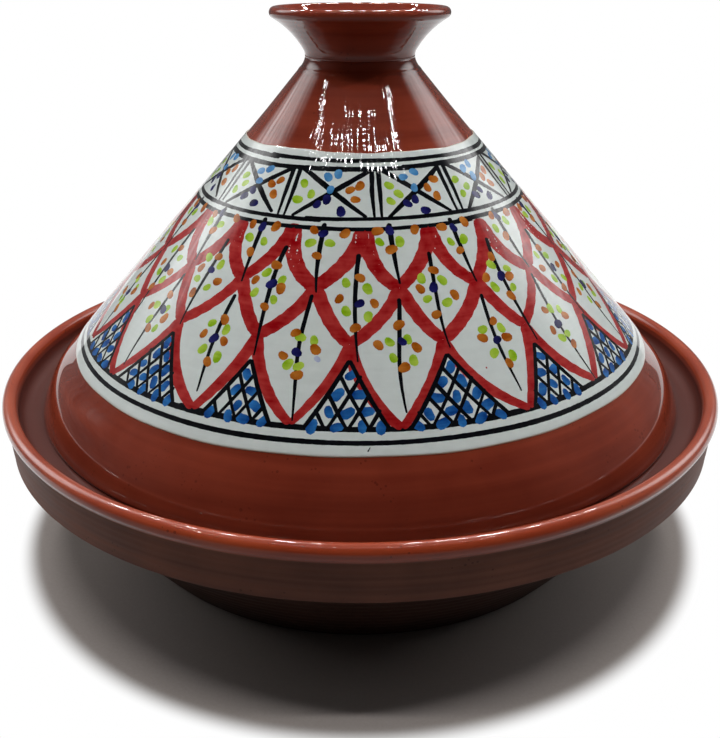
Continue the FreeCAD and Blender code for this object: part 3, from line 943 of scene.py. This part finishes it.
# blue dabs and black hatching in the triangles above the lower lines: places are A + u (R - A) + v (L - A)
def paintTriangles():
    h, dabs = hatching, []
    measured = len(h["apexes"])
    base = ringLines["slant"][4] - h["baseLift"]
    for k, middle in enumerate(secondAngles):
        play, own = float(k >= measured), k % measured
        drop = rng.normal(0, h["topPlay"]) * play
        top = np.array([middle + h["topShift"], slantAt(h["apexes"][own]) + drop])
        left, right = [np.array([middle + h[key][own] + rng.normal(0, h["sidePlay"]) * play, base])
                       for key in ("left", "right")]
        lines = h["lines"][own]
        for share in np.arange(1, lines) / lines:
            for side, other in ((left, right), (right, left)):
                start = top + (side - top) * share + rng.normal(0, h["startPlay"], 2)
                end = start + (other - top) * (1 - share)
                widths = h["lineTaper"] * h["line"] * rng.normal(1, h["linePlay"])
                path = np.linspace(start - (other - top) * h["overrun"], end, 6)
                brushStroke("black", path, widths, h["lineCrown"], h["load"])
        for side in (left, right):
            path, widths = curvedPath(top, side, (0.34, 0.33), (0.65, 0.67)), h["outlineTaper"] * h["outline"]
            brushStroke("black", path, widths, h["outlineCrown"], h["load"])
        u, v = np.meshgrid((np.arange(lines) + 0.5) / lines, (np.arange(lines) + 0.5) / lines)
        inside = (u + v) < 1.02
        spot = top + (right - top) * u[inside][:, None] + (left - top) * v[inside][:, None]
        spot = spot + rng.normal(0, 1, spot.shape) * h["dabPlay"]
        spot[:, 1] = np.minimum(spot[:, 1], base - h["dabRoom"])
        dabs.append(spot[rng.uniform(0, 1, len(spot)) < h["dabShare"]])
    paintDots("blue", np.vstack(dabs), *h["dab"])


frieze = {
    "posts": (-26.3, 5.8, 34.7, 64.3), "high": 161.9, "low": 147.4, "gap": 1.5, "post": (1.9, 1.7, 0.95),
    "cross": (1.8, 2.2, 2.1, 1.3), "dot": (3.6, 0.012, 0.014), "dotPlay": 0.018, "farPosts": (94.6, 303.8, 8),
    "topPlay": 0.2, "middlePlay": 0.15, "lowPlay": 0.4, "lean": 0.35, "inset": 0.4, "crossPlay": 0.5,
    "crown": 0.014, "load": 0.9,
    "sky": ((0.40, 0.17), (0.57, 0.10), (0.48, 0.40)), "green": ((0.12, 0.35), (0.24, 0.53), (0.11, 0.68)),
    "brown": ((0.87, 0.30), (0.72, 0.43), (0.82, 0.62)), "navy": ((0.47, 0.63), (0.37, 0.75), (0.60, 0.86)),
}


# upper frieze: pairs of posts, a crossed panel between each two, and three dots in each quarter of a panel
def paintFrieze():
    f = frieze
    posts = np.concatenate([f["posts"], np.linspace(*f["farPosts"]), [f["posts"][0] + 360]])
    high, low, gap = slantAt(f["high"]), slantAt(f["low"]), f["gap"]
    dots = {key: [] for key in ("sky", "green", "brown", "navy")}
    for k in range(len(posts) - 1):
        for side in (-1, 1):
            place = posts[k] + side * gap
            path = [(place + rng.normal(0, f["topPlay"]), high),
                    (place + rng.normal(0, f["middlePlay"]), (high + low) / 2),
                    (place - side * f["lean"], low + rng.normal(0, f["lowPlay"]))]
            brushStroke("black", path, f["post"], f["crown"], f["load"])
        a, b = posts[k] + gap + f["inset"], posts[k + 1] - gap - f["inset"]
        play = rng.normal(0, f["crossPlay"], 4)
        # from, to, handles, crown
        strokes = [
            ((a + 0.4, high + play[0]), (b - 2.0 + play[1], low - 0.4), (0.34, 0.22), (0.72, 0.66), 0.014),
            ((b + play[2] * 0.4, high + 0.8), (a + 1.6 + play[3], low), (0.30, 0.22), (0.76, 0.66), 0.018),
        ]
        for *bend, crown in strokes:
            brushStroke("black", curvedPath(*bend), f["cross"], crown, f["load"])
        for key, found in dots.items():
            places = np.array(f[key]) + rng.normal(0, f["dotPlay"], (len(f[key]), 2))
            found.append(np.stack([a + (b - a) * places[:, 0], high + (low - high) * places[:, 1]], axis=1))
    for key, found in dots.items():
        paintDots(key, np.vstack(found), *f["dot"])


# turning angle and level of each mark, then its width and height, or its widths and crown
strays = {
    "smudge": (((-8.3, 108.8),), 2.4, 0.02), "tick": (((1.2, 85.8), (1.6, 86.9)), (0.5, 0.25), 0.05),
    "red": (((-12.6, 125.4), (24.6, 104.0), (-25.4, 103.6)), 0.7, 0.03),
}


# a few marks that the brush left by chance
def paintStrays():
    spots = {key: [(angle, slantAt(level)) for angle, level in mark[0]] for key, mark in strays.items()}
    for paint in ("smudge", "red"):
        paintDots(paint, spots[paint], *strays[paint][1:])
    brushStroke("black", spots["tick"], *strays["tick"][1:])


# all the parts of one colour as one piece, shaded with the normals of the cone, as paint lies under glaze
def joinPaint(paint):
    parts = strokeParts[paint]
    starts = np.cumsum([0] + [len(part[0]) for part in parts])
    faces = [(part[k] + start).tolist() for k in (1, 2) for part, start in zip(parts, starts)]
    points, load = [np.concatenate([part[k] for part in parts]) for k in (0, 3)]
    angle = np.arctan2(points[:, 0], -points[:, 1])
    normals = np.stack([cosA * np.sin(angle), -cosA * np.cos(angle), sinA + 0 * angle], axis=1)
    faces = sum(faces, [])
    makePiece(paintTitle(paint), points, faces, paints[paint], "lid", load, normals)


paintRings()
paintLattice()
paintCells()
paintTriangles()
paintFrieze()
paintStrays()
for paintName in paints:
    joinPaint(paintName)
print("painting done")

studio = {
    "stripSide": 0.34, "stripAhead": 0.215, "stripBehind": 0.30, "stripHeight": 0.75, "stripWidth": 0.022,
    "stripGlow": 40.0, "ceilingGlow": 0.10, "ceilingGap": 0.03,
    "chipSize": (0.007, 0.0015), "chipPlay": (0.015, 0.0012), "chipGlow": 170.0,
    "dashSize": (0.044, 0.030), "dashPlay": (0.5, 1.3),
    "fillPlace": (0.62, 0.10, 0.26), "fillSize": (0.22, 0.24), "fillGlow": 3.0, "fillLean": 70.0,
    "sheenAim": (0.68, 0.45, 0.58), "sheenGlow": 2.9, "sheenReach": (0.94, 1.0),
    "wallGlow": 0.14, "backGlow": 0.12, "frontGlow": 0.012, "bounce": 0.05,
    "wallSpan": (0.35, 1.0), "wallFade": (-0.75, 0.1), "backSpan": (0.1, 0.9),
    "foldScale": (4.0, 4.0, 30.0), "foldSpan": (0.3, 0.7), "foldGlow": (0.8, 0.6),
    "tentRadius": 1.8, "tentRows": 36, "tentColumns": 96, "tentTop": 88.0, "tentCloth": colour(20, 20, 20),
    "floorDark": colour(164, 156, 151), "floorLight": colour(174, 165, 160), "floorFibre": 900.0,
    "floorLevel": -0.0002, "floorReach": 30.0, "floorSockets": {"Roughness": 0.9, "Specular IOR Level": 0.0},
    "glossFloor": 0.25, "glossSide": 1.0, "glossSpan": (-0.16, -0.02),
    "shadowAhead": 0.008, "shadowEdge": 0.1405, "whiteEdge": 0.1505,
}
white = (1, 1, 1, 1)
# rows of lamp chips in the plane of the strips: a curve through three places (x, y), and how many chips;
# the last row is of larger lamps behind, for the lip and the knob's cup
chipRows = [
    ((-0.413, 0.052), (-0.372, -0.030), (-0.337, -0.106), 34),
    ((0.300, -0.051), (0.286, -0.098), (0.272, -0.145), 34),
    ((-0.336, -0.106), (-0.010, -0.214), (0.274, -0.142), 34),
    ((-0.355, -0.126), (0.0, -0.234), (0.272, -0.169), 30),
    ((-0.150, -0.165), (0.0, -0.188), (0.142, -0.168), 11),
    ((-0.169, -0.176), (-0.023, -0.203), (0.115, -0.191), 12),
    ((-0.430, 0.440), (0.0, 0.440), (0.430, 0.440), 13),
]


# an area light of the given brightness (its power is brightness x pi x area); it faces down, turned by lean
def addPanel(name, place, size, glow, lean=0.0):
    light = bpy.data.lights.new(name, "AREA")
    light.shape = "RECTANGLE"
    light.size, light.size_y = size
    light.energy = glow * math.pi * size[0] * size[1]
    panel = bpy.data.objects.new(name, light)
    panel.location = place
    panel.rotation_euler = (0, lean, 0)
    panel.visible_camera = False
    bpy.context.collection.objects.link(panel)
    return panel


# four lamp strips in a frame overhead, a dim ceiling above them, and a soft fill on each side
def lightStudio():
    s = studio
    side, ahead, behind = s["stripSide"], s["stripAhead"], s["stripBehind"]
    height, width = s["stripHeight"], s["stripWidth"]
    middle, length = (behind - ahead) / 2, behind + ahead
    strips = [((0, -ahead, height), (2 * side, width)), ((0, behind, height), (2 * side, width)),
              ((-side, middle, height), (width, length)), ((side, middle, height), (width, length))]
    for place, size in strips:
        addPanel("strip", place, size, s["stripGlow"]).visible_glossy = False
    addPanel("ceiling", (0, middle, height + s["ceilingGap"]), (2 * side, length), s["ceilingGlow"])
    for sign in (-1, 1):
        place = (sign * s["fillPlace"][0], *s["fillPlace"][1:])
        lean = sign * math.radians(s["fillLean"])
        addPanel("fill", place, s["fillSize"], s["fillGlow"], lean).visible_glossy = False


# the lamp chips, small squares which only reflections meet: along each row's quadratic curve, with play
def makeChips():
    s = studio
    spots, sizes = [], []
    for *places, count in chipRows:
        a, b, c = np.array(places)
        t = np.linspace(0, 1, count)[:, None]
        spots.append(a * (1 - t) * (1 - 2 * t) + b * 4 * t * (1 - t) + c * t * (2 * t - 1))
        sizes.append(np.tile(s["chipSize"], (count, 1)))
    sizes[-1] = np.array(s["dashSize"]) * rng.uniform(*s["dashPlay"], sizes[-1].shape)
    spots, sizes = np.vstack(spots), np.vstack(sizes)
    spots = spots + rng.normal(0, 1, spots.shape) * np.array(s["chipPlay"])
    x = spots[:, :1] + sizes[:, :1] * np.array([-0.5, -0.5, 0.5, 0.5])
    y = spots[:, 1:] + sizes[:, 1:] * np.array([-0.5, 0.5, 0.5, -0.5])
    points = np.stack([x, y, s["stripHeight"] + 0 * x], axis=-1).reshape(-1, 3)
    material, tree, shader = startMaterial("lampChips")[:3]
    setInputs(tree, shader, {"Emission Color": white, "Emission Strength": s["chipGlow"]})
    chips = makeStage("chips", points, np.arange(len(points)).reshape(-1, 4).tolist(), material)
    chips.visible_camera = chips.visible_diffuse = chips.visible_shadow = False


# 1 for rays that should meet a white background: those of the camera, of gloss and of glass
def whiteRays(tree):
    path = addNode(tree, "LightPath").outputs
    shown = mathNode(tree, "MAXIMUM", path["Is Camera Ray"], path["Is Glossy Ray"])
    return mathNode(tree, "MAXIMUM", shown, path["Is Transmission Ray"])


# a piece of the set, which isn't part of the object
def makeStage(name, points, faces, material):
    stage = makeObject(name, points, faces, material)
    return stage


# pale floor: grey within a disc about as wide as the dish's rim and set a little ahead of it, a painted
# shadow that also takes the real one, and plain white beyond it, which in reflections is dimmer, most of all
# in front
def makeFloor():
    s = studio
    material, tree, shader, place = startMaterial("paleFloor")
    fibre = noiseNode(tree, place, (s["floorFibre"],) * 3, 2.0)
    shown = mixNode(tree, fibre, s["floorDark"], s["floorLight"])
    setInputs(tree, shader, {"Base Color": shown, **s["floorSockets"]})
    axes = addNode(tree, "SeparateXYZ", {0: place}).outputs
    # painted shadow: the grey disc is centred a little ahead of the pot, and its edge runs from shadowEdge to
    # whiteEdge
    ahead = mathNode(tree, "ADD", axes["Y"], s["shadowAhead"])
    flat = addNode(tree, "CombineXYZ", {0: axes["X"], 1: ahead}).outputs[0]
    away = addNode(tree, "VectorMath", {0: flat}, operation="LENGTH").outputs["Value"]
    given = {"Value": away, "From Min": s["shadowEdge"], "From Max": s["whiteEdge"]}
    beyond = addNode(tree, "MapRange", given, interpolation_type="SMOOTHSTEP").outputs["Result"]
    share = mathNode(tree, "MULTIPLY", beyond, whiteRays(tree))
    glossy = addNode(tree, "LightPath").outputs["Is Glossy Ray"]
    beside = rangeNode(tree, axes["Y"], *s["glossSpan"])
    dimmer = mathNode(tree, "MULTIPLY_ADD", beside, s["glossSide"] - s["glossFloor"], s["glossFloor"] - 1.0)
    strength = mathNode(tree, "MULTIPLY_ADD", glossy, dimmer, 1.0)
    glow = addNode(tree, "Emission", {"Color": white, "Strength": strength}).outputs[0]
    mixed = addNode(tree, "MixShader", {0: share, 1: shader.outputs[0], 2: glow}).outputs[0]
    setInputs(tree, tree.nodes["Material Output"], {"Surface": mixed})
    far, level = s["floorReach"], s["floorLevel"]
    corners = np.array([(-far, -far, level), (far, -far, level), (far, far, level), (-far, far, level)])
    makeStage("floor", corners, [(0, 1, 2, 3)], material)


# cloth dome round the set, which only reflections and bounced light meet: it glows softly at the sides and
# behind, by how far round its points are, more in a soft patch on each side, and is dark in front
def makeTent():
    s = studio
    material, tree, shader, place = startMaterial("tentCloth")
    folds = rangeNode(tree, noiseNode(tree, place, s["foldScale"], 2.0), *s["foldSpan"])
    uneven = mathNode(tree, "MULTIPLY_ADD", folds, *s["foldGlow"])
    shown = mathNode(tree, "MULTIPLY", loadNode(tree, "glow"), uneven)
    setInputs(tree, shader, {"Base Color": s["tentCloth"], "Specular IOR Level": 0.0})
    setInputs(tree, shader, {"Emission Color": shown, "Emission Strength": 1.0})
    rows, columns = s["tentRows"], s["tentColumns"]
    height, angle = np.radians(np.linspace(0, s["tentTop"], rows))[:, None], columnAngles(columns)
    x, y, z = np.cos(height) * np.sin(angle), -np.cos(height) * np.cos(angle), np.sin(height) + 0 * angle
    points = np.vstack([np.stack([x, y, z], axis=-1).reshape(-1, 3), [[0, 0, 1]]]) * s["tentRadius"]
    sides = smoothStep(*s["wallSpan"], np.abs(x)) * smoothStep(*s["wallFade"], y)
    behind = smoothStep(*s["backSpan"], y)
    aim = np.array(s["sheenAim"]) / np.linalg.norm(s["sheenAim"])
    patch = smoothStep(*s["sheenReach"], np.abs(x) * aim[0] + y * aim[1] + z * aim[2])
    amount = s["frontGlow"] + s["wallGlow"] * sides + s["backGlow"] * behind + s["sheenGlow"] * patch
    crown = fanFaces(rows * columns, (rows - 1) * columns, columns, True)
    tent = makeStage("tent", points, gridFaces(rows, columns).tolist() + crown.tolist(), material)
    setLoad(tent.data, "glow", np.append(amount.ravel(), s["frontGlow"]))
    tent.visible_camera = False


# white world for the camera, dim for bounced light
def makeWorld():
    world = bpy.data.worlds.new("studio")
    world.use_nodes = True
    bpy.context.scene.world = world
    tree = world.node_tree
    shown = mixNode(tree, whiteRays(tree), (*[studio["bounce"]] * 3, 1), white)
    setInputs(tree, tree.nodes["Background"], {"Color": shown})


lightStudio()
makeChips()
makeFloor()
makeTent()
makeWorld()
print("studio lit")

cameraView = {"place": (0.0, -0.3814, 0.2303), "tilt": 66.30, "focal": 935.0, "frameHeight": 738.0}
cameraData = bpy.data.cameras.new("camera")
cameraData.sensor_width = 36.0
cameraData.lens = cameraView["focal"] / cameraView["frameHeight"] * cameraData.sensor_width
cameraData.clip_start = 0.01
camera = bpy.data.objects.new("camera", cameraData)
camera.location = cameraView["place"]
camera.rotation_euler = (math.radians(cameraView["tilt"]), 0, 0)
bpy.context.collection.objects.link(camera)
bpy.context.scene.camera = camera
bpy.context.scene.view_settings.view_transform = "Standard"
